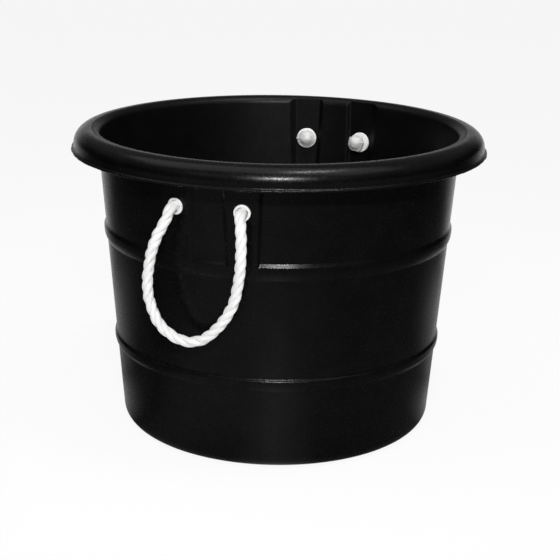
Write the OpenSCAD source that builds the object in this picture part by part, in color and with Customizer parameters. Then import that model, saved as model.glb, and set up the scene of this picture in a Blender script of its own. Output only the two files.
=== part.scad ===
// Muck bucket: a moulded tub with a rolled rim and two rope handles.
// The origin is the centre of the base, +Z is up, and the handles face -Y and +Y.

/* [Tub] */
// Height from the floor to the top of the rim
tub_h = 400; // [340:5:460]
// Outside radius of the wall's slope, carried down to the floor
foot_r = 210; // [190:1:230]
// Outside radius of the wall's slope, carried up to the rim's top
mouth_r = 240; // [220:1:270]
// Thickness of the moulded wall
wall_t = 3.2; // [2.4:0.1:4.5]
// Outside radius of the rounded corner between base and wall
corner_r = 18; // [10:1:28]
// Radius of the raised panel in the base
panel_r = 168; // [120:1:172]
// Height that the base panel is raised by
panel_rise = 8; // [2:0.5:12]

/* [Rim] */
// Width of the rolled rim, from the wall to the outside of its skirt
rim_w = 30.5; // [28:0.5:40]
// Height of the rim, from its top to the underside of the lip
rim_h = 28; // [26:0.5:36]
// Radius of the bend from the inner wall into the rim's top
rim_in_r = 11; // [7:0.5:12]
// Radius of the bend from the rim's top into the skirt
rim_out_r = 20; // [12:0.5:22]
// Distance that the lip stands out from the skirt
lip_w = 3.5; // [2:0.1:6]
// Thickness of the lip
lip_t = 2.6; // [2:0.1:4]

/* [Ribs] */
// Distance from the rim's top down to the upper rib's ledge
rib_a_drop = 124; // [112:1:140]
// Height of the upper rib
rib_a_h = 22; // [16:0.5:28]
// Height of the lower rib's lower edge above the floor
rib_b_z = 108; // [60:1:180]
// Height of the lower rib
rib_b_h = 18; // [14:0.5:28]
// Distance that the ribs stand out from the wall
rib_proud = 3.2; // [1.5:0.1:4.5]
// Height of the steep ledge on top of each rib
ledge_h = 6; // [3:0.5:9]

/* [Handle strips] */
// Distance between the two holes of a handle
hole_pitch = 84; // [70:1:110]
// Distance from the rim's top down to the middle of the holes
hole_drop = 61; // [56:1:72]
// Width of a strip's flat face
strip_w = 37.5; // [34:0.5:44]
// Distance that a strip stands out from the wall
strip_proud = 3.6; // [2.4:0.1:4.4]
// Width of each sloping side of a strip
strip_side_w = 3.6; // [2.4:0.1:6]
// Width of the flat bottom of the groove inside a strip
groove_w = 30.5; // [30:0.5:33]
// Width of each sloping side of the groove
groove_side_w = 7.2; // [5:0.1:9]

/* [Grommets] */
// Bore that the rope passes through
grommet_bore = 14.3; // [13.2:0.1:16]
// Outside diameter of the barrel in the wall
barrel_d = 18; // [17:0.1:19]
// Diameter of the flange inside the tub
flange_d = 29; // [25:0.5:29.5]
// Thickness of the flange inside the tub
flange_t = 3; // [2:0.1:4]
// Diameter of the snap ring outside the tub
ring_d = 20.5; // [19.5:0.1:24]
// Thickness of the snap ring outside the tub
ring_t = 2.4; // [1.8:0.1:4]

/* [Rope] */
// Diameter of the rope
rope_d = 12.7; // [10:0.1:13]
// Diameter of a fused rope end
head_d = 26.5; // [25:0.5:30]
// Thickness of a fused end's brim
head_t = 4; // [2:0.1:6]
// Diameter of the dome on a fused end
dome_d = 20; // [16:0.5:22]
// Height of the dome on a fused end
dome_h = 7.5; // [4:0.1:9]
// Distance that the loose rope end is pushed into the tub
push_in = 9; // [0:0.5:14]

/* [Fit] */
// Gap between a grommet's barrel and its hole
fit_gap = 0.2; // [0.1:0.05:0.4]
// Gap between the rope's fixed and swinging parts
move_gap = 0.3; // [0.2:0.05:0.6]

/* [Hidden] */

// Facets of a full turn, steps in a bend and in a rib's flank, and sides of the rope's tube
turn_fn = 180;
bend_steps = 8;
flank_steps = 6;
rope_sides = 12;
// Distance that cuts run past what they cut
overrun = 4;
// Radius of the edges of lips, flanges and rings
edge_r = 1;
// Radius of the hollow where the skirt meets the lip
lip_fillet_r = 1.5;
// Depth within the wall's thickness from which a strip is built up
strip_root_share = 0.5;
// Height within the upper rib at which the strips end
strip_end_share = 0.66;
// Height down the rim's inner bend at which the strips' outsides end
strip_top_share = 0.5;
// Rings that round off the rope tube's ends, as shares of a quarter turn
cap_shares = [0.95, 0.65, 0.33];

// Slope of the wall, and the wall's thickness measured level
draft = atan((mouth_r - foot_r) / tub_h);
wall_x = wall_t / cos(draft);
skirt_r = mouth_r + rim_w;
lip_z = tub_h - rim_h;
hole_z = tub_h - hole_drop;
rib_a_z = tub_h - rib_a_drop - rib_a_h;
rope_r = rope_d / 2;

// Strip levels, measured out from the wall's outer face
strip_in = strip_proud - wall_t;
flange_face = strip_in - flange_t;
ring_face = strip_proud + ring_t;
hinge_out = ring_face + move_gap + rope_r;

// Half the angle between a handle's two holes, and the line on which the rope swings
hole_turn = asin(hole_pitch / 2 / wall_r(hole_z));
hinge_r = wall_r(hole_z) + hinge_out * cos(draft);
hinge_x = hinge_r * sin(hole_turn);
hinge_y = hinge_r * cos(hole_turn);
hinge_z = hole_z - hinge_out * sin(draft);

// Route of the rope from one hole to the other: across, out from the swing line and down from it
rope_route = [
    [-46, 6, 7], [-50, 10, 18], [-56, 11, 29], [-61, 11, 40], [-66, 10, 53], [-70, 8, 68],
    [-73, 7, 84], [-74, 6, 99], [-73, 5, 114], [-69, 4, 128], [-63, 4, 141], [-54, 3, 152],
    [-42, 2, 160], [-28, 2, 164], [-14, 2, 163], [-2, 2, 158], [10, 3, 148], [20, 3, 137],
    [28, 4, 126], [35, 4, 113], [40, 5, 100], [43, 6, 87], [46, 7, 72], [48, 9, 56],
    [49, 10, 40], [49, 10, 24], [47, 7, 10],
];

// Outside radius of the wall at a height
function wall_r(z) = foot_r + (mouth_r - foot_r) * z / tub_h;

// A smooth rise from 0 to 1
function ease(s) = s * s * (3 - 2 * s);

// Points of an arc about a centre
function arc(centre, r, from, to) = [
    for (i = [0 : bend_steps])
        let (a = from + (to - from) * i / bend_steps)
        centre + r * [cos(a), sin(a)]
];

function backwards(points) = [for (i = [len(points) - 1 : -1 : 0]) points[i]];

// One rib, from its lower edge up: a long eased flank and then a short straight ledge
function rib(z, h, inset) = let (flank_h = h - ledge_h) concat(
    [for (i = [0 : flank_steps])
        let (s = i / flank_steps)
        [wall_r(z + flank_h * s) + rib_proud * ease(s) - inset, z + flank_h * s]],
    [[wall_r(z + h) - inset, z + h]]
);

// Both ribs on the wall's outside, or set in by its thickness on its inside
function wall_side(inset) = concat(rib(rib_b_z, rib_b_h, inset), rib(rib_a_z, rib_a_h, inset));

// Section of the tub: up the outside, under and over the rim, and down the inside
function tub_section() = let (
    corner = [wall_r(corner_r) - corner_r / cos(draft), corner_r],
    bend_in = [wall_r(tub_h - rim_in_r) - wall_x + rim_in_r / cos(draft), tub_h - rim_in_r],
    bend_out = [skirt_r - rim_out_r, tub_h - rim_out_r],
    lip_r = skirt_r + lip_w
) concat(
    [[0, panel_rise], [panel_r - panel_rise, panel_rise], [panel_r, 0]],
    arc(corner, corner_r, -90, -draft),
    wall_side(0),
    arc(bend_in, rim_in_r - wall_t, 180 - draft, 90),
    arc(bend_out, rim_out_r - wall_t, 90, 0),
    [[skirt_r - wall_t, lip_z]],
    arc([lip_r - edge_r, lip_z + edge_r], edge_r, -90, 0),
    arc([lip_r - edge_r, lip_z + lip_t - edge_r], edge_r, 0, 90),
    arc([skirt_r + lip_fillet_r, lip_z + lip_t + lip_fillet_r], lip_fillet_r, 270, 180),
    arc(bend_out, rim_out_r, 0, 90),
    arc(bend_in, rim_in_r, 90, 180 - draft),
    backwards(wall_side(wall_x)),
    arc(corner, corner_r - wall_t, -draft, -90),
    [[panel_r, wall_t], [panel_r - panel_rise, panel_rise + wall_t], [0, panel_rise + wall_t]]
);

// Places its children at a hole: across, up the wall, and out from the wall's face
module at_hole(turn) {
    rotate([0, 0, turn])
        translate([0, -wall_r(hole_z), hole_z])
            rotate([90 + draft, 0, 0])
                children();
}

// Turn of each hole about the tub's axis
function hole_turn_of(back, side) = (back ? 180 : 0) + side * hole_turn;

// A strip with sloping sides, from the upper rib up the wall and from a low level out to a flat face
module strip_form(face_w, side_w, low, face, top_z) {
    depth = face - low;
    low_w = face_w + 2 * depth * side_w / strip_proud;
    up = (top_z - hole_z) / cos(draft);
    down = (hole_z - rib_a_z - rib_a_h * strip_end_share) / cos(draft);
    translate([0, up, low])
        rotate([90, 0, 0])
            linear_extrude(height = up + down)
                polygon([
                    [-low_w / 2, 0],
                    [low_w / 2, 0],
                    [face_w / 2, depth],
                    [-face_w / 2, depth],
                ]);
}

module tub() {
    strip_top = tub_h - rim_in_r * strip_top_share;
    color([0.08, 0.08, 0.085])
        difference() {
            union() {
                rotate_extrude($fn = turn_fn)
                    polygon(tub_section());
                for (back = [false, true], side = [-1, 1])
                    at_hole(hole_turn_of(back, side))
                        strip_form(strip_w, strip_side_w, -wall_t * strip_root_share, strip_proud, strip_top);
            }
            for (back = [false, true], side = [-1, 1])
                at_hole(hole_turn_of(back, side)) {
                    strip_form(groove_w, groove_side_w, -wall_t - overrun, strip_in, tub_h + overrun);
                    translate([0, 0, strip_in - overrun])
                        cylinder(h = wall_t + 2 * overrun, d = barrel_d + 2 * fit_gap, $fn = turn_fn);
                }
        }
}

// A flanged bush pushed through from inside, with a snap ring that holds it outside
module grommet(turn) {
    bore_r = grommet_bore / 2;
    color([0.93, 0.93, 0.92])
        at_hole(turn)
            rotate_extrude($fn = turn_fn)
                polygon(concat(
                    arc([bore_r + edge_r, flange_face + edge_r], edge_r, 180, 270),
                    arc([flange_d / 2 - edge_r, flange_face + edge_r], edge_r, 270, 360),
                    [[flange_d / 2, strip_in], [barrel_d / 2, strip_in]],
                    [[barrel_d / 2, strip_proud], [ring_d / 2, strip_proud]],
                    arc([ring_d / 2 - edge_r, ring_face - edge_r], edge_r, 0, 90),
                    arc([bore_r + edge_r, ring_face - edge_r], edge_r, 90, 180)
                ));
}

// The rope's end: its length in the bore, and the melted head that stops it pulling out
module rope_end(turn, pushed) {
    seat = flange_face - pushed;
    brim = seat - head_t;
    brim_r = head_t / 2;
    dome_r = (pow(dome_d / 2, 2) + pow(dome_h, 2)) / (2 * dome_h);
    dome_turn = asin(dome_d / 2 / dome_r);
    color([0.8, 0.8, 0.78])
        at_hole(turn)
            rotate_extrude($fn = turn_fn)
                polygon(concat(
                    arc([0, brim - dome_h + dome_r], dome_r, 270, 270 + dome_turn),
                    arc([head_d / 2 - brim_r, brim + brim_r], brim_r, 270, 450),
                    [[rope_r, seat], [rope_r, ring_face], [0, ring_face]]
                ));
}

// A ring of the tube about a point, square to the route there
function tube_ring(point, along, r) = let (
    side = cross(along, [0, 1, 0]) / norm(cross(along, [0, 1, 0])),
    over = cross(side, along)
) [for (i = [0 : rope_sides - 1])
    let (a = 360 * i / rope_sides)
    point + r * (cos(a) * side + sin(a) * over)];

// Skin of a tube from its rings, with flat ends
function tube_faces(rings) = concat(
    [[for (i = [0 : rope_sides - 1]) rope_sides - 1 - i]],
    [for (k = [0 : rings - 2], i = [0 : rope_sides - 1])
        let (j = (i + 1) % rope_sides)
        [k * rope_sides + i, k * rope_sides + j, (k + 1) * rope_sides + j]],
    [for (k = [0 : rings - 2], i = [0 : rope_sides - 1])
        let (j = (i + 1) % rope_sides)
        [k * rope_sides + i, (k + 1) * rope_sides + j, (k + 1) * rope_sides + i]],
    [[for (i = [0 : rope_sides - 1]) (rings - 1) * rope_sides + i]]
);

// The hanging loop of rope, with round ends on the line that it swings about
module rope_loop() {
    route = concat(
        [[-hinge_x, -hinge_y, hinge_z]],
        [for (p = rope_route) [p[0], -hinge_y - p[1], hinge_z - p[2]]],
        [[hinge_x, -hinge_y, hinge_z]]
    );
    last = len(route) - 1;
    heading = [
        for (i = [0 : last])
            let (step = route[min(i + 1, last)] - route[max(i - 1, 0)])
            step / norm(step)
    ];
    rings = concat(
        [for (s = cap_shares)
            tube_ring(route[0] - rope_r * sin(90 * s) * heading[0], heading[0], rope_r * cos(90 * s))],
        [for (i = [0 : last]) tube_ring(route[i], heading[i], rope_r)],
        [for (s = backwards(cap_shares))
            tube_ring(route[last] + rope_r * sin(90 * s) * heading[last], heading[last], rope_r * cos(90 * s))]
    );
    color([0.95, 0.95, 0.94])
        polyhedron([for (ring = rings) each ring], tube_faces(len(rings)));
}

module grommet_front_left() { grommet(hole_turn_of(false, -1)); }
module grommet_front_right() { grommet(hole_turn_of(false, 1)); }
module grommet_back_left() { grommet(hole_turn_of(true, -1)); }
module grommet_back_right() { grommet(hole_turn_of(true, 1)); }
module rope_end_front_left() { rope_end(hole_turn_of(false, -1), 0); }
module rope_end_front_right() { rope_end(hole_turn_of(false, 1), 0); }
module rope_end_back_left() { rope_end(hole_turn_of(true, -1), push_in); }
module rope_end_back_right() { rope_end(hole_turn_of(true, 1), 0); }
module rope_front() { rope_loop(); }
module rope_back() { rotate([0, 0, 180]) rope_loop(); }

tub();
grommet_front_left();
grommet_front_right();
grommet_back_left();
grommet_back_right();
rope_end_front_left();
rope_end_front_right();
rope_end_back_left();
rope_end_back_right();
rope_front();
rope_back();
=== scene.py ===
# %% [markdown]
# # Dressing a muck bucket
# The CAD model of the bucket already has its size, its pieces and its joints. This lesson loads it as a
# fixed frame and lays finer surfaces over it. Each surface is a function of two parameters, worked out
# as whole numpy arrays, and every piece stays where the CAD has it. Lengths are written in millimetres,
# as a maker measures them, and turned into Blender's metres when a mesh is made.

# %% Load the frame
import bpy
import numpy as np
from mathutils import Matrix


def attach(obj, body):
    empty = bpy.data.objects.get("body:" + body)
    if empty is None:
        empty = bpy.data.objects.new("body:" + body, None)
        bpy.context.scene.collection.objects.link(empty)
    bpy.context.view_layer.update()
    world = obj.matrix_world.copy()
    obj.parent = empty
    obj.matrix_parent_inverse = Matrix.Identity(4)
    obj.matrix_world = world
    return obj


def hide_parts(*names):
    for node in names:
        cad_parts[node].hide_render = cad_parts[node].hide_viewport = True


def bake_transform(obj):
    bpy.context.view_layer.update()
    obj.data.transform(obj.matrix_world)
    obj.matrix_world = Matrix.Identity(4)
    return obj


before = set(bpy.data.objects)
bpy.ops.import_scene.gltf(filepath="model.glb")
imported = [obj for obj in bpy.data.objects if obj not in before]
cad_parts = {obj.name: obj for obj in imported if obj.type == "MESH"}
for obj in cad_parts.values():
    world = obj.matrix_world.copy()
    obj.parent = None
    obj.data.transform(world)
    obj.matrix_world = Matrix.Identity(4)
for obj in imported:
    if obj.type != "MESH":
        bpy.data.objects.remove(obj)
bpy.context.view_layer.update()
MM = 0.001
print("nodes:", len(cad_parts))

# %% [markdown]
# ## The camera
# The photograph looks down into the bucket from a little above its rim. The focal length, the place and
# the three turns below came from fitting a camera to the rim, the ribs and the base. A camera could also
# be aimed with a constraint, but writing its axes as a matrix leaves nothing to work out later.
# The bucket's handles face the -Y axis, and the photograph sees them from 20.4 degrees to one side.

# %% Camera
photo_width = 560
focal_length_px = 1308.96
sensor_width = 36
side_step = np.radians(20.4)
pan = 0.0022
tilt = -0.2981
roll = -0.0149
stand = np.array([0.0, -1717.5, 713.04])

forward = np.array([np.sin(pan) * np.cos(tilt), np.cos(pan) * np.cos(tilt), np.sin(tilt)])
level = np.array([np.cos(pan), -np.sin(pan), 0.0])
plumb = np.cross(forward, level)
rightward = level * np.cos(roll) + plumb * np.sin(roll)
downward = plumb * np.cos(roll) - level * np.sin(roll)


def about_axis(points, angle):
    """Points turned about the upright axis: x and y mix by the angle's cosine and sine, z stays."""
    points = np.asarray(points, float)
    turned = points.copy()
    turned[..., 0] = points[..., 0] * np.cos(angle) - points[..., 1] * np.sin(angle)
    turned[..., 1] = points[..., 0] * np.sin(angle) + points[..., 1] * np.cos(angle)
    return turned


camera = bpy.data.objects.new("camera", bpy.data.cameras.new("camera"))
camera.data.sensor_width = sensor_width
camera.data.lens = focal_length_px / photo_width * sensor_width
camera.data.clip_end = 100
pose = np.eye(4)
pose[:3, :3] = about_axis(np.stack([rightward, -downward, -forward]), side_step).T
pose[:3, 3] = about_axis(stand, side_step) * MM
camera.matrix_world = Matrix(pose.tolist())
bpy.context.scene.collection.objects.link(camera)
bpy.context.scene.camera = camera
print("camera at", np.round(pose[:3, 3], 3), "lens", round(camera.data.lens, 2))

# %% [markdown]
# ## Grids into meshes
# Every new piece here is a grid of points: rows along it and columns round it. One helper turns such a
# grid into a closed skin. The columns wrap round, and each open end is closed by one pole vertex with a
# fan of triangles. The face lists come from index arithmetic on the whole grid at once. The two grid
# parameters also go into a UV map, so that a finish can follow the surface.

# %% Skin helper
def skin_faces(rows, columns):
    """Faces of a wrapped grid with a pole at each end, and the (around, along) number of each corner."""
    row, column = np.meshgrid(np.arange(rows - 1), np.arange(columns), indexing="ij")
    row = row.ravel()
    column = column.ravel()
    beside = (column + 1) % columns
    quads = np.stack([row * columns + column, row * columns + beside,
                      (row + 1) * columns + beside, (row + 1) * columns + column], axis=1)
    quad_around = np.stack([column, column + 1, column + 1, column], axis=1)
    quad_along = np.stack([row, row, row + 1, row + 1], axis=1)
    rim = np.arange(columns)
    beyond = (rim + 1) % columns
    first_pole = np.full(columns, rows * columns)
    last_pole = first_pole + 1
    last_row = (rows - 1) * columns
    fans = np.concatenate([np.stack([first_pole, beyond, rim], axis=1),
                           np.stack([last_pole, last_row + rim, last_row + beyond], axis=1)])
    fan_around = np.concatenate([np.stack([rim + 0.5, rim + 1, rim], axis=1),
                                 np.stack([rim + 0.5, rim, rim + 1], axis=1)])
    fan_along = np.concatenate([np.tile([0, 0, 0], (columns, 1)),
                                np.tile([rows - 1] * 3, (columns, 1))])
    around = np.concatenate([quad_around.ravel(), fan_around.ravel()])
    along = np.concatenate([quad_along.ravel(), fan_along.ravel()])
    return quads, fans, around, along


def skinned(name, grids, poles, along_lengths):
    """One smooth mesh object from several grids of points in millimetres.

    Each grid has rows x columns points, each pair of poles closes its two ends, and each list of lengths
    says how far along the piece its rows lie. The UV map holds the share of a turn and that length."""
    points = []
    faces = []
    uv = []
    start = 0
    for grid, pole, lengths in zip(grids, poles, along_lengths):
        rows, columns = grid.shape[:2]
        quads, fans, around, along = skin_faces(rows, columns)
        points.append(np.concatenate([grid.reshape(-1, 3), np.asarray(pole, float)]))
        faces.extend((quads + start).tolist())
        faces.extend((fans + start).tolist())
        uv.append(np.stack([around / columns, np.asarray(lengths, float)[along]], axis=1))
        start += rows * columns + 2
    mesh = bpy.data.meshes.new(name)
    mesh.from_pydata((np.concatenate(points) * MM).tolist(), [], faces)
    layer = mesh.uv_layers.new(name="surface")
    layer.data.foreach_set("uv", np.concatenate(uv).astype(np.float32).ravel())
    mesh.polygons.foreach_set("use_smooth", np.ones(len(faces), bool))
    mesh.update()
    piece = bpy.data.objects.new(name, mesh)
    bpy.context.scene.collection.objects.link(piece)
    print(name, "has", len(mesh.vertices), "points and", len(faces), "faces")
    return piece


# %% [markdown]
# ## The wall and its four holes
# The wall is a cone, 210 mm in radius at the floor and 240 mm at the rim. Each handle has two holes,
# 84 mm apart and 61 mm below the rim. Everything at a hole is easiest to place in the hole's own frame:
# across, up the wall, and out from the wall's face. One function carries points from there to the bucket.

# %% Hole frames
tub_height = 400.0
foot_radius = 210.0
mouth_radius = 240.0
hole_drop = 61.0
hole_pitch = 84.0
hole_height = tub_height - hole_drop
slope = np.arctan((mouth_radius - foot_radius) / tub_height)


def wall_radius(z):
    """Outside radius of the plain wall, which grows evenly with height."""
    return foot_radius + (mouth_radius - foot_radius) * z / tub_height


hole_turn = np.arcsin(hole_pitch / 2 / wall_radius(hole_height))
front_turns = [-hole_turn, hole_turn]
back_turns = [np.pi - hole_turn, np.pi + hole_turn]


def at_hole(points, turn):
    """Points given as across, up and out at a hole, leaned back by the wall's slope and turned round."""
    across, up, out = np.moveaxis(np.asarray(points, float), -1, 0)
    y = -wall_radius(hole_height) - up * np.sin(slope) - out * np.cos(slope)
    z = hole_height + up * np.cos(slope) - out * np.sin(slope)
    return about_axis(np.stack([across, y, z], axis=-1), turn)


print("slope", round(float(np.degrees(slope)), 2), "hole turn", round(float(np.degrees(hole_turn)), 2))

# %% [markdown]
# ## The route of a rope
# A rope handle starts in its melted head inside the tub, passes straight through the grommet, drops in a
# loose loop and comes back through the other grommet. Its given points are joined by a natural
# cubic spline, the curve that a thin springy batten takes through pegs, so there are no kinks.
# A Blender curve could do this too, but three twisted strands need the exact frame at every step.
# Each point of the loop is given from the left hinge: sideways from the middle, out, and down.

# %% Rope routes
flange_level = -2.6
ring_level = 6.0
hinge_level = 12.65
push_in = 9.0
in_head = 2.0
route_step = 1.15
fine_steps = 8000
hinge_left = at_hole([0.0, 0.0, hinge_level], -hole_turn)
loop_points = np.array([
    [-46, 6, 7], [-50, 10, 18], [-56, 11, 29], [-61, 11, 40], [-66, 10, 53], [-70, 8, 68],
    [-73, 7, 84], [-74, 6, 99], [-73, 5, 114], [-69, 4, 128], [-63, 4, 141], [-54, 3, 152],
    [-42, 2, 160], [-28, 2, 164], [-14, 2, 163], [-2, 2, 158], [10, 3, 148], [20, 3, 137],
    [28, 4, 126], [35, 4, 113], [40, 5, 100], [43, 6, 87], [46, 7, 72], [48, 9, 56],
    [49, 10, 40], [49, 10, 24], [47, 7, 10]], float)
loop = np.stack([loop_points[:, 0], hinge_left[1] - loop_points[:, 1],
                 hinge_left[2] - loop_points[:, 2]], axis=1)


def spline(pegs, step):
    """Natural cubic spline through pegs, cut into even steps.

    The bend is nil at both ends and changes evenly between pegs; one linear system finds it at all pegs."""
    knots = np.concatenate([[0.0], np.cumsum(np.linalg.norm(np.diff(pegs, axis=0), axis=1))])
    gaps = np.diff(knots)
    count = len(pegs)
    inner = np.arange(1, count - 1)
    system = np.eye(count)
    system[inner, inner - 1] = gaps[:-1]
    system[inner, inner] = 2 * (gaps[:-1] + gaps[1:])
    system[inner, inner + 1] = gaps[1:]
    load = np.zeros_like(pegs)
    load[1:-1] = 6 * np.diff(np.diff(pegs, axis=0) / gaps[:, None], axis=0)
    bend = np.linalg.solve(system, load)
    place = np.linspace(0.0, knots[-1], fine_steps)
    k = np.clip(np.searchsorted(knots, place, side="right") - 1, 0, count - 2)
    after = (place - knots[k])[:, None]
    before = (knots[k + 1] - place)[:, None]
    gap = gaps[k][:, None]
    curve = (bend[k] * before ** 3 + bend[k + 1] * after ** 3) / (6 * gap)
    curve += (pegs[k] / gap - bend[k] * gap / 6) * before
    curve += (pegs[k + 1] / gap - bend[k + 1] * gap / 6) * after
    travel = np.concatenate([[0.0], np.cumsum(np.linalg.norm(np.diff(curve, axis=0), axis=1))])
    even = np.linspace(0.0, travel[-1], int(round(travel[-1] / step)) + 1)
    return np.stack([np.interp(even, travel, curve[:, axis]) for axis in range(3)], axis=1), even


def rope_route(pushed):
    """Route of one rope, with its first end pushed in by a distance: bore, loop and bore again."""
    bore = np.zeros((4, 3))
    bore[:, 2] = [flange_level - in_head, 0.0, ring_level, hinge_level]
    pushed_bore = bore - [[0.0, 0.0, pushed], [0, 0, 0], [0, 0, 0], [0, 0, 0]]
    pegs = np.concatenate([at_hole(pushed_bore, -hole_turn), loop, at_hole(bore[::-1], hole_turn)])
    return spline(pegs, route_step)


front_route, front_travel = rope_route(0.0)
back_route, back_travel = rope_route(push_in)
back_route = about_axis(back_route, np.pi)
print("front rope", round(front_travel[-1]), "mm, back rope", round(back_travel[-1]), "mm")

# %% [markdown]
# ## Three strands
# Laid rope is three strands twisted together to the right, so they climb like the stroke of a Z. A bump
# texture on a plain tube would look painted on. Here each strand is its own tube on a helix about the
# route: one turn in 44 mm. Neighbouring strands sink a little into each other, as they do under load.
# In the grommets the rope is squeezed, so there the strands are thicker and closer to the middle.

# %% Ropes
lay_length = 43.6
first_phase = np.radians(36)
strand_count = 3
strand_sides = 18
squeezed_length = 11.0
loosening_length = 12.0
helix_squeezed = 2.45
helix_growth = 0.4
strand_squeezed = 4.6
strand_shrink = 0.65


def directions(curve):
    """Unit directions along a curve, from the differences between its neighbours."""
    along = np.gradient(curve, axis=0)
    return along / np.linalg.norm(along, axis=1, keepdims=True)


def strand(route, travel, phase, lean):
    """Tube about a helix: the helix circles the route once per lay, and a circle is carried along it."""
    along = directions(route)
    side = np.cross(along, lean)
    side /= np.linalg.norm(side, axis=1, keepdims=True)
    over = np.cross(along, side)
    twist = (2 * np.pi * travel / lay_length + phase)[:, None]
    outward = np.cos(twist) * side + np.sin(twist) * over
    from_end = np.minimum(travel, travel[-1] - travel)
    loose = np.clip((from_end - squeezed_length) / loosening_length, 0, 1)[:, None]
    helix_radius = helix_squeezed + helix_growth * loose
    strand_radius = (strand_squeezed - strand_shrink * loose)[:, None]
    centre = route + helix_radius * outward
    path = directions(centre)
    flank = np.cross(path, outward)
    flank /= np.linalg.norm(flank, axis=1, keepdims=True)
    turn = np.linspace(0, 2 * np.pi, strand_sides, endpoint=False)[None, :, None]
    ring = np.cos(turn) * outward[:, None] + np.sin(turn) * flank[:, None]
    return centre[:, None] + strand_radius * ring, centre[[0, -1]]


def rope(name, route, travel, lean):
    """Three strands a third of a turn apart, as one piece."""
    phases = first_phase + 2 * np.pi * np.arange(strand_count) / strand_count
    grids, poles = zip(*[strand(route, travel, phase, lean) for phase in phases])
    return skinned(name, grids, poles, [travel] * strand_count)


front_rope = rope("front_rope", front_route, front_travel, [0.7, 0.7, 0.0])
back_rope = rope("back_rope", back_route, back_travel, [-0.7, -0.7, 0.0])

# %% [markdown]
# ## Melted rope ends
# Each rope end was held over a flame until the nylon ran, and pressed flat on the grommet. It set as a
# dome on an uneven brim with a few nibs. The head is a section of two arcs turned about the hole's axis,
# and its radius swells and shrinks with slow waves round the turn, so no two heads are alike. Sculpting
# would do as well, but waves from a seeded random number come out the same every time.

# %% Melted heads
dome_half = 10.5
dome_height = 7.0
head_radius = 13.25
brim_thick = 4.0
brim_round = 2.0
underside_radius = 10.5
neck_radius = 6.6
head_sides = 96
swell_size = 0.055
swell_fall = 0.7
swell_trim = 0.08
nib_count = 3
nib_size = 0.12
nib_width = 0.12
tilt_sag = 0.5
wavy_sag = 0.35
nominal_length = 30.0


def arc(centre, radius, start, stop, steps):
    """Points of an arc: a centre plus the radius times cosine and sine, between two angles in degrees."""
    angle = np.radians(np.linspace(start, stop, steps))
    return np.stack([centre[0] + radius * np.cos(angle), centre[1] + radius * np.sin(angle)], axis=1)


def straight(start, stop, shares):
    """Points on a straight line, at shares of its length."""
    start = np.asarray(start, float)
    return start + (np.asarray(stop, float) - start) * np.asarray(shares)[:, None]


def melted_head(name, turn, pushed, seed):
    """Surface of a head: its section turned round, times a wavy share of its radius that depends on angle.

    The dome is part of a ball; the waves get weaker as they get shorter, and the brim sags a little."""
    seat = flange_level - pushed
    brim = seat - brim_thick
    dome_radius = (dome_half ** 2 + dome_height ** 2) / (2 * dome_height)
    dome_span = np.degrees(np.arcsin(dome_half / dome_radius))
    section = np.concatenate([
        arc([0.0, brim - dome_height + dome_radius], dome_radius, 272, 270 + dome_span, 16),
        straight([dome_half + 0.2, brim], [head_radius - brim_round - 0.15, brim], [0.0, 0.5, 1.0]),
        arc([head_radius - brim_round, brim + brim_round], brim_round, 270, 448, 16),
        straight([underside_radius, seat], [neck_radius, seat], np.linspace(0, 1, 5))])
    chance = np.random.default_rng(seed)
    turns = np.linspace(0, 2 * np.pi, head_sides, endpoint=False)
    waves = np.arange(2, 9)
    sizes = swell_size / waves ** swell_fall
    phases = chance.uniform(0, 2 * np.pi, len(waves))
    swell = (sizes[:, None] * np.cos(waves[:, None] * turns + phases[:, None])).sum(axis=0)
    nib_turns = chance.uniform(0, 2 * np.pi, nib_count)
    gap = np.angle(np.exp(1j * (turns[None] - nib_turns[:, None])))
    swell += (nib_size * np.exp(-(gap / nib_width) ** 2)).sum(axis=0)
    reach = np.clip(section[:, 0] / head_radius, 0, 1)[:, None]
    radius = section[:, :1] * (1 + (swell[None] - swell_trim) * reach ** 2)
    sag = tilt_sag * np.cos(turns + phases[0]) + wavy_sag * np.cos(3 * turns + phases[1])
    free = np.clip((seat - section[:, 1]) / brim_thick, 0, 1)[:, None]
    out = section[:, 1:] + sag[None] * free * (0.4 + 0.6 * reach)
    grid = np.stack([radius * np.cos(turns), radius * np.sin(turns), out + 0 * turns], axis=-1)
    poles = np.array([[0.0, 0.0, out[0].mean() - 0.02], [0.0, 0.0, seat]])
    lengths = np.linspace(0.0, nominal_length, len(section))
    return skinned(name, [at_hole(grid, turn)], [at_hole(poles, turn)], [lengths])


front_heads = [melted_head("front_head_left", front_turns[0], 0.0, 3),
               melted_head("front_head_right", front_turns[1], 0.0, 5)]
back_heads = [melted_head("back_head_left", back_turns[0], push_in, 8),
              melted_head("back_head_right", back_turns[1], 0.0, 13)]

# %% [markdown]
# ## Heads and ropes
# Each head is fixed to the tub's body, and the CAD model's rope end that it stands for is hidden. Each rope
# has its placement baked into its points, and the CAD model's rope is hidden. The ends of a stretch of about
# 17 mm just outside each grommet, across the hinge, are worked out but not used.

for head, node in zip(front_heads + back_heads, ["rope_end_front_left", "rope_end_front_right",
                                                 "rope_end_back_left", "rope_end_back_right"]):
    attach(head, "tub")
    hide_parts(node)

falling = np.array([0.0, -0.65, -0.76])
blend_before = 2.0
blend_after = 15.0
hinge_middle = np.array([0.0, hinge_left[1], hinge_left[2]])


def hang(piece, turn, node):
    """Bakes a rope's placement into its points and hides the CAD rope; the hinge stretch's ends go unused.
    """
    start = about_axis(hinge_middle - blend_before * falling, turn) * MM
    end = about_axis(hinge_middle + blend_after * falling, turn) * MM
    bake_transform(piece)
    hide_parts(node)


hang(front_rope, 0.0, "rope_front")
hang(back_rope, np.pi, "rope_back")

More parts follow.
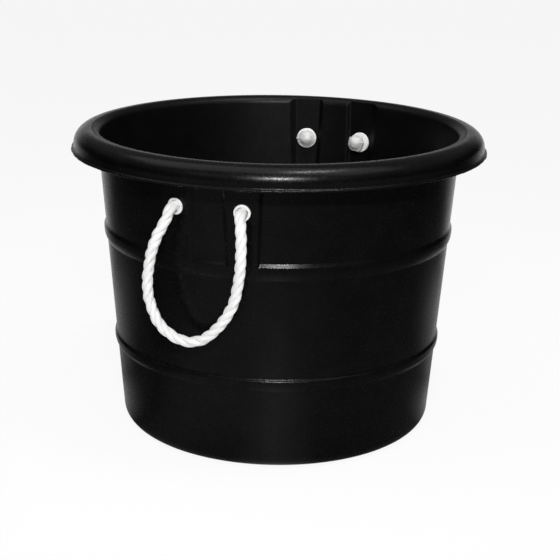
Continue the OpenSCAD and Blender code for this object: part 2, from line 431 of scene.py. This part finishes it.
# %% [markdown]
# ## The wall and its ribs
# Two ribs stiffen the wall. Each has a flank that bows out from the wall and leans in a little at the top,
# and a ledge that leads straight back. The inside follows the outside at the same thickness. A bump could
# fake the ribs from in front, but not where they show in the outline, so they are rows of the section.

# %% Wall and ribs
corner = 18.0
low_rib = 108.0
low_rib_height = 18.0
low_rib_soft = 0.4
high_rib = 254.0
high_rib_height = 22.0
high_rib_soft = 0.15
rib_ledge = 5.5
rib_bulge = 4.1
rib_lean = 1.2
row_beside = 1.2


def ramp(share, soft):
    """A straight rise from 0 to 1 whose first and last parts are parabolas."""
    steep = 1 / (1 - soft)
    start = steep * share ** 2 / (2 * soft)
    stop = 1 - steep * (1 - share) ** 2 / (2 * soft)
    middle = steep * (share - soft / 2)
    return np.where(share < soft, start, np.where(share > 1 - soft, stop, middle))


def rib(bottom, height, inset, soft, ledge_steps):
    """A rib on the wall: a flank that bows out and leans back in, and a straight ledge back to the wall.

    The flank stands out by one less the cube of the share left to its top, and leans in evenly."""
    share = np.concatenate([[0.0, 0.02], np.linspace(0.08, 0.95, 11)])
    flank = np.stack([bottom + (height - rib_ledge) * share,
                      rib_bulge * (1 - (1 - share) ** 3) - rib_lean * share], axis=1)
    share = np.concatenate([np.linspace(0.02, soft, ledge_steps), [0.5],
                            np.linspace(1 - soft, 1.0, ledge_steps)])
    ledge = np.stack([bottom + height - rib_ledge * (1 - share),
                      (rib_bulge - rib_lean) * (1 - ramp(share, soft))], axis=1)
    z, proud = np.concatenate([flank, ledge]).T
    return np.stack([wall_radius(z) + proud - inset, z], axis=1)


def wall_line(low, high, inset, count):
    """Rows up a plain stretch of wall, with one close to each end."""
    beside = row_beside / (high - low)
    shares = np.concatenate([[beside], np.linspace(0, 1, count + 2)[1:-1], [1 - beside]])
    z = low + (high - low) * shares
    return np.stack([wall_radius(z) - inset, z], axis=1)


def wall_side(inset, top, ledge_steps):
    """One side of the wall from the corner to the rim's bend: plain, rib, plain, rib, plain."""
    return np.concatenate([
        wall_line(corner, low_rib, inset, 3),
        rib(low_rib, low_rib_height, inset, low_rib_soft, ledge_steps),
        wall_line(low_rib + low_rib_height, high_rib, inset, 4),
        rib(high_rib, high_rib_height, inset, high_rib_soft, ledge_steps),
        wall_line(high_rib + high_rib_height, top, inset, 8)])


print("ribs from", low_rib, "to", low_rib + low_rib_height, "and from", high_rib, "to",
      high_rib + high_rib_height)

# %% [markdown]
# ## The section of the tub
# The tub is one moulding with an even wall: a raised panel in the base, a rounded corner, the two ribs,
# and a rim that rolls out and down to a thin lip. The section is one closed line, up the outside, under
# and over the rim and down the inside. Rows are close together in the bends and far apart on flat
# stretches, with one more row beside each bend, so that smooth shading doesn't spill over the flats.

# %% Tub section
wall = 3.2
wall_level = wall / np.cos(slope)
rim_in = 11.0
rim_out = 20.0
rim_reach = 30.5
rim_depth = 28.0
skirt = mouth_radius + rim_reach
skirt_round = 0.8
lip_bottom = tub_height - rim_depth
lip_thick = 2.6
lip_top = lip_bottom + lip_thick
lip_reach = 3.5
lip_edge = skirt + lip_reach
lip_round = 1.2
lip_fillet = 1.8
panel_radius = 168.0
panel_rise = 8.0
panel_round = 3.0
panel_shift = 1.24
corner_centre = np.array([wall_radius(corner) - corner / np.cos(slope), corner])
wall_top = tub_height - rim_in
bend_in = np.array([wall_radius(wall_top) - wall_level + rim_in / np.cos(slope), wall_top])
bend_out = np.array([skirt - rim_out, tub_height - rim_out])
lean = np.degrees(slope)
panel_flat = panel_radius - panel_rise
floor_level = panel_rise + wall
outside = np.concatenate([
    straight([0, panel_rise], [panel_flat, panel_rise], [0.02, 0.3, 0.6, 0.97]),
    arc([panel_flat - panel_shift, panel_rise - panel_round], panel_round, 90, 45, 4),
    arc([panel_radius + panel_shift, panel_round], panel_round, 225, 270, 4),
    straight([panel_radius, 0], [corner_centre[0], 0], [0.3, 0.7, 0.95]),
    arc(corner_centre, corner, -90, -lean, 12),
    wall_side(0.0, wall_top, 6),
    arc(bend_in, rim_in - wall, 180 - lean, 90, 10)])
rim_line = np.concatenate([
    straight([bend_in[0], tub_height - wall], [bend_out[0], tub_height - wall], [0.2, 0.8]),
    arc(bend_out, rim_out - wall, 90, 0, 10),
    straight([skirt - wall, bend_out[1]], [skirt - wall, lip_bottom], [0.1, 0.5, 0.9])])
lip_line = np.concatenate([
    arc([skirt - wall + skirt_round, lip_bottom + skirt_round], skirt_round, 180, 270, 4),
    straight([skirt - wall, lip_bottom], [lip_edge, lip_bottom], [0.35, 0.7]),
    arc([lip_edge - lip_round, lip_bottom + lip_round], lip_round, -90, 0, 6),
    arc([lip_edge - lip_round, lip_top - lip_round], lip_round, 0, 90, 6)])
skirt_line = np.concatenate([
    arc([skirt + lip_fillet, lip_top + lip_fillet], lip_fillet, 270, 180, 7),
    straight([skirt, lip_top + lip_fillet], [skirt, bend_out[1]], [0.15, 0.5, 0.85]),
    arc(bend_out, rim_out, 0, 90, 14),
    straight([bend_out[0], tub_height], [bend_in[0], tub_height], [0.15, 0.5, 0.85])])
inside = np.concatenate([
    arc(bend_in, rim_in, 90, 180 - lean, 16),
    wall_side(wall_level, wall_top, 4)[::-1],
    arc(corner_centre, corner - wall, -lean, -90, 10),
    straight([corner_centre[0], wall], [panel_radius, wall], [0.05, 0.3, 0.7]),
    arc([panel_radius - panel_shift, wall + panel_round], panel_round, 270, 225, 4),
    arc([panel_flat + panel_shift, floor_level - panel_round], panel_round, 45, 90, 4),
    straight([panel_flat, floor_level], [0, floor_level], [0.03, 0.4, 0.7, 0.98])])
section = np.concatenate([outside, rim_line, lip_line, skirt_line, inside])
parts = [len(outside), len(rim_line), len(lip_line), len(skirt_line), len(inside)]
print("rows in the tub's section:", len(section), parts)

# %% [markdown]
# ## Handle strips
# At each hole a flat strip is pressed out of the wall, from the upper rib to the rim, and the inside
# follows it as a shallow groove. The strip is a second surface: a flat face in the hole's frame whose
# level falls away beyond its edges. It widens a little upwards, and its sides differ: outside, the one
# towards the other hole is the gentler, and inside, the far one is. A Boolean with a block could add it,
# but would leave a hard seam; a smooth maximum of the two radii leaves a small fillet instead.

# %% Strips
strip_proud = 3.6
strip_taper = 0.04
strip_middle = 328.0
strip_foot = 268.5
strip_foot_soft = 1.2
strip_fillet = 0.4
strip_rows_above = 240.0
outside_width = 41.1
outside_sides = (4.4, 2.2)
outside_soft = 0.8
groove_width = 37.4
groove_sides = (3.3, 6.8)
groove_soft = 0.5
widest_turn = 0.35


def soft_part(value, softness):
    """The positive part of a value with a rounded corner: half of the value plus its softened size."""
    return (value + np.sqrt(value ** 2 + softness ** 2)) / 2


def soft_larger(a, b, softness):
    """The larger of two surfaces, with a fillet where they cross."""
    return b + soft_part(a - b, softness)


def strip_radius(z, turn, hole, face_level, middle_width, side_widths, soft):
    """Radius of a strip's face: the plane at its level, lower beyond its edges and below its end."""
    gap = np.clip(np.angle(np.exp(1j * (turn - hole))), -widest_turn, widest_turn)
    across = np.abs(wall_radius(z) * np.tan(gap))
    side_width = np.where(gap * np.sin(2 * hole) < 0, *side_widths)
    half_width = (middle_width - side_width) / 2 + strip_taper * (z - strip_middle)
    level_here = face_level - soft_part(across - half_width, soft) * strip_proud / side_width
    level_here = level_here - soft_part(strip_foot - z, strip_foot_soft)
    return (wall_radius(z) + level_here / np.cos(slope)) / np.cos(gap)


print("strips", outside_width, "mm wide outside, grooves", groove_width, "mm wide inside")

# %% [markdown]
# ## The skin of the tub
# The section is turned round the axis. Blender's Screw modifier could do that, but here the radius also
# changes round the turn: it rises to the strips, and the edge of the lip is a little ragged. So the whole
# grid is worked out at once. Columns crowd together at the strips' edges, where the shape turns quickly.

# %% Tub skin
tub_columns = 352
fine_turns = 40001
crowding = 6.5
crowd_width = 0.024
ragged_seed = 21
ragged_size = 0.13
ragged_trim = 0.2
strip_half = 20.5
strip_edge_turn = strip_half / wall_radius(hole_height)
all_turns = np.array(front_turns + back_turns)
strip_edges = np.concatenate([all_turns - strip_edge_turn, all_turns + strip_edge_turn])


def crowded_turns(count):
    """Angles round the tub whose spacing shrinks near the strips' edges: even shares of a summed density."""
    fine = np.linspace(-np.pi / 2, 3 * np.pi / 2, fine_turns)
    gap = np.angle(np.exp(1j * (fine[:, None] - strip_edges[None])))
    density = 1.0 + (crowding * np.exp(-(gap / crowd_width) ** 4)).sum(axis=1)
    grown = np.concatenate([[0.0], np.cumsum((density[1:] + density[:-1]) / 2)])
    return np.interp(np.linspace(0, grown[-1], count, endpoint=False), grown, fine)


def tub_grid(columns):
    """Grid of the tub: the section's radius, raised to the strips on the wall, turned round the axis."""
    turn = crowded_turns(columns)[None, :]
    radius = np.repeat(section[:, :1], columns, axis=1)
    z = np.repeat(section[:, 1:], columns, axis=1)
    row = np.arange(len(section))
    high = section[:, 1] > strip_rows_above
    on_outside = (row < parts[0]) & high
    on_inside = (row >= sum(parts[:4])) & high
    for rows, face_level, width, sides, soft in [
            (on_outside, strip_proud, outside_width, outside_sides, outside_soft),
            (on_inside, strip_proud - wall, groove_width, groove_sides, groove_soft)]:
        for hole in all_turns:
            face = strip_radius(z[rows], turn, hole, face_level, width, sides, soft)
            radius[rows] = soft_larger(face, radius[rows], strip_fillet)
    lip_rows = (row >= sum(parts[:2])) & (row < sum(parts[:3])) & (section[:, 0] > skirt + 1)
    chance = np.random.default_rng(ragged_seed)
    waves = np.array([7, 13, 23, 37, 53, 71, 97])[:, None]
    phases = chance.uniform(0, 2 * np.pi, waves.shape)
    radius[lip_rows] += (ragged_size * np.cos(waves * turn + phases)).sum(axis=0) - ragged_trim
    return np.stack([radius * np.sin(turn), -radius * np.cos(turn), z], axis=-1)


grid = tub_grid(tub_columns)
poles = np.array([[0.0, 0.0, panel_rise], [0.0, 0.0, floor_level]])
lengths = np.concatenate([[0.0], np.cumsum(np.linalg.norm(np.diff(section, axis=0), axis=1))])
inside_length = lengths[sum(parts[:4])]
tub = skinned("tub_moulding", [grid[:, ::-1]], [poles], [lengths])

# %% [markdown]
# ## Holes in the strips
# The grommets sit in drilled holes. Holes in the grid itself would need columns that follow each circle.
# Here the cutters are short drums at each hole, and an exact Boolean takes them out of the wall. The
# result is copied into the tub's mesh, so no modifier stays behind.

# %% Drill the holes
drum_radius = 9.2
drum_sides = 64
drum_levels = np.array([-8.0, -2.0, 2.0, 8.0])


def drum(name, turn):
    """A drum through the wall at a hole: a circle carried along the hole's axis."""
    angle = np.linspace(0, 2 * np.pi, drum_sides, endpoint=False)
    levels = drum_levels[:, None]
    circle = np.stack([drum_radius * np.cos(angle) + 0 * levels, -drum_radius * np.sin(angle) + 0 * levels,
                       levels + 0 * angle], axis=-1)
    ends = np.array([[0.0, 0.0, drum_levels[0]], [0.0, 0.0, drum_levels[-1]]])
    return skinned(name, [at_hole(circle, turn)], [at_hole(ends, turn)], [drum_levels])


drums = [drum(f"drum_{number}", turn) for number, turn in enumerate(all_turns)]
for cutter in drums:
    cut = tub.modifiers.new("hole", "BOOLEAN")
    cut.operation = "DIFFERENCE"
    cut.solver = "EXACT"
    cut.object = cutter
bpy.context.view_layer.update()
drilled = bpy.data.meshes.new_from_object(tub.evaluated_get(bpy.context.evaluated_depsgraph_get()))
tub.modifiers.clear()
tub.data = drilled
for cutter in drums:
    bpy.data.objects.remove(cutter)
drilled.name = "tub_moulding"
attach(tub, "tub")
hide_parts("tub")
print("tub triangles:", sum(len(face.vertices) - 2 for face in drilled.polygons))

# %% [markdown]
# ## Tools for finishes
# Every finish is a small node tree, so a few short functions each add one node and join it up. Image
# textures could hold the same grain, but noise has no seams and needs no file. A coordinate is either the
# piece's own place, in metres, or the UV map's share of a turn and length along the piece.

# %% Finish tools
def new_finish(name):
    """A new node material, its node tree and its main shader."""
    material = bpy.data.materials.new(name)
    material.use_nodes = True
    return material, material.node_tree, material.node_tree.nodes["Principled BSDF"]


def noise(tree, vector, scale, detail=3.0, roughness=0.5):
    """A noise texture of a scale, on a coordinate: its value is about a half, give or take a quarter."""
    node = tree.nodes.new("ShaderNodeTexNoise")
    node.inputs["Scale"].default_value = scale
    node.inputs["Detail"].default_value = detail
    node.inputs["Roughness"].default_value = roughness
    tree.links.new(vector, node.inputs["Vector"])
    return node.outputs["Fac"]


def spread(tree, value, low, high, start=0.3, stop=0.7):
    """A value carried evenly from the range between start and stop to the range between low and high."""
    node = tree.nodes.new("ShaderNodeMapRange")
    node.inputs["From Min"].default_value = start
    node.inputs["From Max"].default_value = stop
    node.inputs["To Min"].default_value = low
    node.inputs["To Max"].default_value = high
    tree.links.new(value, node.inputs["Value"])
    return node.outputs["Result"]


def shades(tree, value, stops):
    """A value turned into colours, which change evenly between stops of (place, colour)."""
    node = tree.nodes.new("ShaderNodeValToRGB")
    elements = node.color_ramp.elements
    for element, (place, colour) in zip((elements[0], elements[-1]), (stops[0], stops[-1])):
        element.position = place
        element.color = (*colour, 1.0)
    for place, colour in stops[1:-1]:
        elements.new(place).color = (*colour, 1.0)
    tree.links.new(value, node.inputs["Fac"])
    return node.outputs["Color"]


def bump(tree, height, distance, strength=1.0, before=None):
    """A bump of a height in metres, laid over another bump if there is one."""
    node = tree.nodes.new("ShaderNodeBump")
    node.inputs["Strength"].default_value = strength
    node.inputs["Distance"].default_value = distance
    tree.links.new(height, node.inputs["Height"])
    if before is not None:
        tree.links.new(before, node.inputs["Normal"])
    return node.outputs["Normal"]


def object_place(tree):
    """The piece's own coordinates, in metres."""
    return tree.nodes.new("ShaderNodeTexCoord").outputs["Object"]


def combine(tree, operation, a, b):
    """One step of arithmetic on two values, either of which may be a plain number."""
    node = tree.nodes.new("ShaderNodeMath")
    node.operation = operation
    for socket, value in zip(node.inputs, (a, b)):
        if isinstance(value, (int, float)):
            socket.default_value = value
        else:
            tree.links.new(value, socket)
    return node.outputs["Value"]


def surface_place(tree):
    """The share of a turn and the length along a piece, from its UV map."""
    uv = tree.nodes.new("ShaderNodeUVMap")
    uv.uv_map = "surface"
    parted = tree.nodes.new("ShaderNodeSeparateXYZ")
    tree.links.new(uv.outputs["UV"], parted.inputs["Vector"])
    return parted.outputs["X"], parted.outputs["Y"]


# %% [markdown]
# ## Black polyethylene
# The tub is moulded in black polyethylene. It is almost black, a little waxy, and never quite smooth:
# the mould leaves a fine mottle, and slow waves where the plastic cooled. They are noise bumps in Object
# coordinates, so they sit still on the piece, and the same mottle varies the roughness. The inside is a
# little more matt. The UV map tells it from the outside, by the length along the section.

# %% Tub finish
inside_matt = 0.15
tub_finish, tree, shader = new_finish("black_polyethylene")
place = object_place(tree)
mottle = noise(tree, place, 260.0, detail=4.0, roughness=0.6)
grain = noise(tree, place, 900.0, detail=2.0)
wave = noise(tree, place, 9.0, detail=2.0)
cloud = noise(tree, place, 35.0, detail=4.0, roughness=0.6)
tree.links.new(shades(tree, cloud, [(0.3, (0.0012, 0.0012, 0.0013)), (0.7, (0.0024, 0.0024, 0.0026))]),
               shader.inputs["Base Color"])
inside_share = combine(tree, "GREATER_THAN", surface_place(tree)[1], float(inside_length))
matt = combine(tree, "MULTIPLY", inside_share, inside_matt)
tree.links.new(combine(tree, "ADD", spread(tree, mottle, 0.20, 0.32), matt), shader.inputs["Roughness"])
relief = bump(tree, wave, 0.0025, strength=0.4)
relief = bump(tree, mottle, 0.00008, strength=0.8, before=relief)
relief = bump(tree, grain, 0.00003, strength=0.6, before=relief)
tree.links.new(relief, shader.inputs["Normal"])
shader.inputs["Specular IOR Level"].default_value = 0.16
tub.data.materials.clear()
tub.data.materials.append(tub_finish)
print("tub finish has", len(tree.nodes), "nodes")

# %% [markdown]
# ## White grommets
# The grommets are glossy white plastic bushes. Their CAD shape is right, so the nodes stay and get a
# finish of their own: a bright glossy white with faint flow marks and a very fine bump.

# %% Grommet finish
grommet_finish, tree, shader = new_finish("white_bush_plastic")
place = object_place(tree)
flow = noise(tree, place, 120.0)
speck = noise(tree, place, 700.0, detail=2.0)
tree.links.new(shades(tree, flow, [(0.3, (0.76, 0.76, 0.75)), (0.7, (0.84, 0.84, 0.83))]),
               shader.inputs["Base Color"])
tree.links.new(spread(tree, speck, 0.22, 0.34), shader.inputs["Roughness"])
tree.links.new(bump(tree, speck, 0.00003, strength=0.5), shader.inputs["Normal"])
grommets = [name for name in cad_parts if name.startswith("grommet")]
for name in grommets:
    bush = bpy.data.objects[name]
    bush.data.materials.clear()
    bush.data.materials.append(grommet_finish)
print("grommets finished:", len(grommets))

# %% [markdown]
# ## White rope
# Each strand is a bundle of yarns, twisted the other way from the rope, so that the yarns run nearly
# straight along it. The rope's UV map gives the share of a turn round a strand and the length along it.
# A wave of those two draws the yarns as a bump, a fine noise breaks them up, and a slow one soils them.

# %% Rope finish
yarn_count = 11
yarn_lay = 45.0
yarn_fuzz = 2.2
rope_finish, tree, shader = new_finish("white_laid_rope")
around, along = surface_place(tree)
place = object_place(tree)
fuzz = noise(tree, place, 900.0, roughness=0.6)
soil = noise(tree, place, 60.0)
turned = combine(tree, "SUBTRACT", around, combine(tree, "DIVIDE", along, yarn_lay))
phase = combine(tree, "ADD", combine(tree, "MULTIPLY", turned, 2 * np.pi * yarn_count),
                combine(tree, "MULTIPLY", fuzz, yarn_fuzz))
yarns = combine(tree, "SINE", phase, 0.0)
tree.links.new(shades(tree, soil, [(0.3, (0.80, 0.80, 0.79)), (0.7, (0.88, 0.88, 0.875))]),
               shader.inputs["Base Color"])
relief = bump(tree, yarns, 0.00022, strength=0.8)
relief = bump(tree, fuzz, 0.00015, strength=0.5, before=relief)
tree.links.new(relief, shader.inputs["Normal"])
tree.links.new(spread(tree, fuzz, 0.62, 0.8), shader.inputs["Roughness"])
shader.inputs["Sheen Weight"].default_value = 0.15
for piece in (front_rope, back_rope):
    piece.data.materials.append(rope_finish)
print("rope finish has", len(tree.nodes), "nodes")

# %% [markdown]
# ## Melted nylon
# The heads set from molten rope: greyer than the rope, half glossy, with clouds of trapped air and a
# lumpy skin. Two noises do it, a slow one for the clouds and a finer one for the lumps. The colour is
# also darker on the brim, as painted shade round the foot of the dome; the UV map tells the brim from the
# dome by the length along the head's section. Light that scatters under the skin would be truer to nylon,
# but at this size it hardly shows.

# %% Melted finish
melt_finish, tree, shader = new_finish("melted_rope")
place = object_place(tree)
clouds = noise(tree, place, 150.0, detail=4.0, roughness=0.6)
lumps = noise(tree, place, 260.0, detail=2.0)
# Painted shade: the colour darkens from the dome out over the brim, where the dome's foot would be shaded.
brim = spread(tree, surface_place(tree)[1], 1.0, 0.72, start=9.0, stop=13.0)
clouds_with_painted_shade = combine(tree, "MULTIPLY", clouds, brim)
tree.links.new(shades(tree, clouds_with_painted_shade, [(0.3, (0.50, 0.50, 0.49)), (0.7, (0.65, 0.65, 0.64))]),
               shader.inputs["Base Color"])
tree.links.new(spread(tree, lumps, 0.3, 0.5), shader.inputs["Roughness"])
tree.links.new(bump(tree, lumps, 0.0006, strength=0.6), shader.inputs["Normal"])
for piece in front_heads + back_heads:
    piece.data.materials.append(melt_finish)
print("melted heads finished:", len(front_heads + back_heads))

# %% [markdown]
# ## Floor
# The bucket stands on a wide pale floor that fills the picture, a hair below its base. A single square
# would look the same; the rings only keep it in the style of the other grids.

# %% Floor
floor_radius = 30000.0
floor_drop = 0.3
floor_thick = 20.0
floor_rings = 24
floor_columns = 96


def flat_disc(name, radius, height, rings, columns):
    """A flat plate: rings about the axis whose radius grows as a square, above, and the same below."""
    angle = np.linspace(0, 2 * np.pi, columns, endpoint=False)
    reach = radius * np.linspace(0.02, 1, rings)[:, None] ** 2
    level_top = np.full((rings, columns), height)
    top = np.stack([reach * np.cos(angle), reach * np.sin(angle), level_top], axis=-1)
    below = top[::-1] - [0.0, 0.0, floor_thick]
    middle = np.array([[0.0, 0.0, height], [0.0, 0.0, height - floor_thick]])
    lengths = np.linspace(0, 1, 2 * rings)
    return skinned(name, [np.concatenate([top, below])[:, ::-1]], [middle], [lengths])


floor = flat_disc("floor", floor_radius, -floor_drop, floor_rings, floor_columns)

# %% [markdown]
# ## What the floor shows
# To the camera the floor is mostly a plain white, and the rest is a matt surface that keeps the soft
# shadow at the foot. A black wall shows what it mirrors, so in reflections the floor glows with a painted
# pattern of its own, which paints sheen and shade on the wall by bearing and distance: a fan of painted
# sheen in front, brightest to the left and dimmed near the foot of the wall as painted shadow, a painted
# streak of sheen down the middle, a painted far glow, and white behind, which turns the outline grey where
# the wall curves away. More lamps could do that too, but they would also light the rope. All of it is
# fixed to the floor, whatever view is rendered. Bearings start at the side that the photograph was taken
# from and grow to its right, and distances are in metres from the bucket's axis.

# %% Floor finish
white_share = 0.9
# Levels of the painted sheen that the wall mirrors from the floor, by bearing in degrees.
painted_sheen_levels = [(-66, 0.0), (-44, 0.33), (-12, 0.31), (20, 0.20), (32, 0.12), (70, 0.06), (95, 0.0)]


def from_camera(sideways, ahead, height):
    """A fixed place, as the photograph sees it from the bucket's axis: to the right, further off, and up."""
    return about_axis([sideways, ahead, height], side_step)


def measured(tree, operation, reference, kind="Object"):
    """How far a coordinate lies along a direction (a dot product), or its distance from a place."""
    node = tree.nodes.new("ShaderNodeVectorMath")
    node.operation = operation
    tree.links.new(tree.nodes.new("ShaderNodeTexCoord").outputs[kind], node.inputs[0])
    node.inputs[1].default_value = tuple(reference)
    return node.outputs["Value"]


floor_finish, tree, shader = new_finish("pale_floor")
shader.inputs["Base Color"].default_value = (0.8, 0.8, 0.8, 1.0)
shader.inputs["Roughness"].default_value = 0.9
shader.inputs["Specular IOR Level"].default_value = 0.1
rays = tree.nodes.new("ShaderNodeLightPath")
glossy = rays.outputs["Is Glossy Ray"]
plain = combine(tree, "MAXIMUM", rays.outputs["Is Camera Ray"], rays.outputs["Is Transmission Ray"])
seen = combine(tree, "MAXIMUM", plain, glossy)
white = tree.nodes.new("ShaderNodeEmission")
white.inputs["Color"].default_value = (1.0, 1.0, 1.0, 1.0)
reach = measured(tree, "DISTANCE", (0.0, 0.0, 0.0))
bearing = combine(tree, "ARCTAN2", measured(tree, "DOT_PRODUCT", from_camera(1.0, 0.0, 0.0)),
                  measured(tree, "DOT_PRODUCT", from_camera(0.0, -1.0, 0.0)))
turned_off = combine(tree, "ABSOLUTE", bearing, 0.0)

# The fan of painted sheen, dimmed near the foot of the wall as painted shadow, and weaker again far out to
# the right.
fan = shades(tree, spread(tree, bearing, 0.0, 1.0, start=-np.pi, stop=np.pi),
             [(0.5 + degrees / 360, (glow, glow, glow)) for degrees, glow in painted_sheen_levels])
painted_sheen_pool = combine(tree, "MULTIPLY", fan, spread(tree, reach, 0.4, 1.0, start=0.21, stop=0.38))
fade = combine(tree, "MULTIPLY",
               spread(tree, bearing, 0.0, 0.45, start=np.radians(-15), stop=np.radians(15)),
               spread(tree, reach, 0.0, 1.0, start=0.58, stop=0.95))
painted_sheen_pool = combine(tree, "MULTIPLY", painted_sheen_pool, combine(tree, "SUBTRACT", 1.0, fade))

# The painted streak of sheen and the painted far glow, which end to the sides.
painted_sheen_streak = combine(tree, "MULTIPLY", spread(tree, turned_off, 0.5, 0.0, start=0.0, stop=0.28),
                 spread(tree, reach, 1.0, 0.0, start=0.35, stop=0.75))
painted_far_glow = combine(tree, "MULTIPLY", spread(tree, reach, 0.0, 0.3, start=1.3, stop=1.8),
                    spread(tree, turned_off, 1.0, 0.0, start=np.radians(60), stop=np.radians(95)))
front = combine(tree, "MAXIMUM", combine(tree, "ADD", painted_sheen_pool, painted_sheen_streak), painted_far_glow)

# The white behind: near the bucket, at the foot of its wall, and all the way out.
near_back = combine(tree, "MULTIPLY",
                    spread(tree, turned_off, 0.0, 1.0, start=np.radians(92), stop=np.radians(170)),
                    spread(tree, reach, 1.0, 0.0, start=0.6, stop=0.9))
at_foot = combine(tree, "MULTIPLY", spread(tree, reach, 0.6, 0.0, start=0.22, stop=0.33),
                  spread(tree, turned_off, 0.0, 1.0, start=np.radians(70), stop=np.radians(95)))
far_back = spread(tree, turned_off, 0.0, 1.0, start=np.radians(126), stop=np.radians(150))
back = combine(tree, "MAXIMUM", combine(tree, "MAXIMUM", near_back, at_foot), far_back)
# What the wall mirrors from the floor: the white behind and the painted sheen and shade in front.
backdrop_and_painted_sheen = combine(tree, "MAXIMUM", front, back)
tree.links.new(combine(tree, "MAXIMUM", plain, combine(tree, "MULTIPLY", glossy, backdrop_and_painted_sheen)),
               white.inputs["Strength"])
mixed = tree.nodes.new("ShaderNodeMixShader")
tree.links.new(combine(tree, "MULTIPLY", seen, white_share), mixed.inputs["Fac"])
tree.links.new(shader.outputs["BSDF"], mixed.inputs[1])
tree.links.new(white.outputs["Emission"], mixed.inputs[2])
tree.links.new(mixed.outputs["Shader"], tree.nodes["Material Output"].inputs["Surface"])
floor.data.materials.append(floor_finish)
print("floor finish has", len(tree.nodes), "nodes")

# %% [markdown]
# ## Studio light
# Product light for a black object is mostly a matter of what it mirrors. Four lamps are enough: a strip
# and a wide ceiling overhead draw the lines along the rim and the ledges of the ribs, and light the ropes
# and the floor; a strip beside the camera gives the front a faint sheen; and a small fill stands at the
# left. Point lamps would be simpler, but they leave hard shadows and show as dots in the plastic.

# %% Lamps
bucket_middle = from_camera(0.0, -0.1, 0.3)
steepest = 0.98


def softbox(name, place, aim, width, height, power, spread_angle=80):
    """A rectangular lamp that looks from a place to an aim: its axes are built from that direction."""
    lamp = bpy.data.lights.new(name, "AREA")
    lamp.shape = "RECTANGLE"
    lamp.size = width
    lamp.size_y = height
    lamp.energy = power
    lamp.spread = np.radians(spread_angle)
    back = np.asarray(place, float) - np.asarray(aim, float)
    back /= np.linalg.norm(back)
    upright = [0.0, 0.0, 1.0] if abs(back[2]) < steepest else [0.0, 1.0, 0.0]
    across = np.cross(upright, back)
    across /= np.linalg.norm(across)
    pose = np.eye(4)
    pose[:3, :3] = np.stack([across, np.cross(back, across), back], axis=1)
    pose[:3, 3] = place
    box = bpy.data.objects.new(name, lamp)
    box.matrix_world = Matrix(pose.tolist())
    bpy.context.scene.collection.objects.link(box)
    print(name, "lamp of", power, "W at", np.round(place, 2))


softbox("overhead", from_camera(0.38, -0.52, 2.2), bucket_middle, 0.5, 0.06, 2.2)
softbox("ceiling", from_camera(-0.1, -0.3, 2.4), from_camera(-0.1, -0.3, 0.0), 4.4, 1.7, 30.0, 180)
softbox("beside_camera", from_camera(0.02, -1.95, 1.45), bucket_middle, 0.5, 0.06, 7.9)
softbox("left_fill", from_camera(-1.3, -1.55, 1.65), bucket_middle, 0.6, 0.4, 0.7, 180)

# %% [markdown]
# ## Surround
# The surround is white to the camera and dim to everything else, so that a white picture doesn't flood
# the bucket with light. In reflections it is white low behind the bucket, where the rim mirrors it, and
# faint above. A picture of a real studio could be used instead, but two ramps are enough.

# %% Surround
surround_white = 0.9
surround_dim = 0.2
world = bpy.data.worlds.new("studio")
bpy.context.scene.world = world
world.use_nodes = True
tree = world.node_tree
tree.nodes["Background"].inputs["Color"].default_value = (1.0, 1.0, 1.0, 1.0)
rays = tree.nodes.new("ShaderNodeLightPath")
glossy = rays.outputs["Is Glossy Ray"]
plain = combine(tree, "MAXIMUM", rays.outputs["Is Camera Ray"], rays.outputs["Is Transmission Ray"])
up = measured(tree, "DOT_PRODUCT", (0.0, 0.0, 1.0), "Generated")
away = measured(tree, "DOT_PRODUCT", from_camera(-0.06, 0.998, 0.0), "Generated")
above = spread(tree, up, 0.0, 0.16, start=0.25, stop=0.5)
back = combine(tree, "MULTIPLY", spread(tree, away, 0.0, 0.9, start=0.82, stop=0.98),
               spread(tree, up, 1.0, 0.0, start=0.1, stop=0.3))
mirrored = combine(tree, "MULTIPLY", combine(tree, "MAXIMUM", above, back), glossy)
diffuse = combine(tree, "MULTIPLY", combine(tree, "SUBTRACT", 1.0, glossy), surround_dim)
dim = combine(tree, "MAXIMUM", mirrored, diffuse)
tree.links.new(combine(tree, "MAXIMUM", dim, combine(tree, "MULTIPLY", plain, surround_white)),
               tree.nodes["Background"].inputs["Strength"])
bpy.context.scene.view_settings.view_transform = "Standard"
print("surround has", len(tree.nodes), "nodes")

# %% [markdown]
# ## Finish
# The view layer is brought up to date once more. The dressed bucket has to stay in the CAD model's
# box.

# %% Finish
bpy.context.view_layer.update()
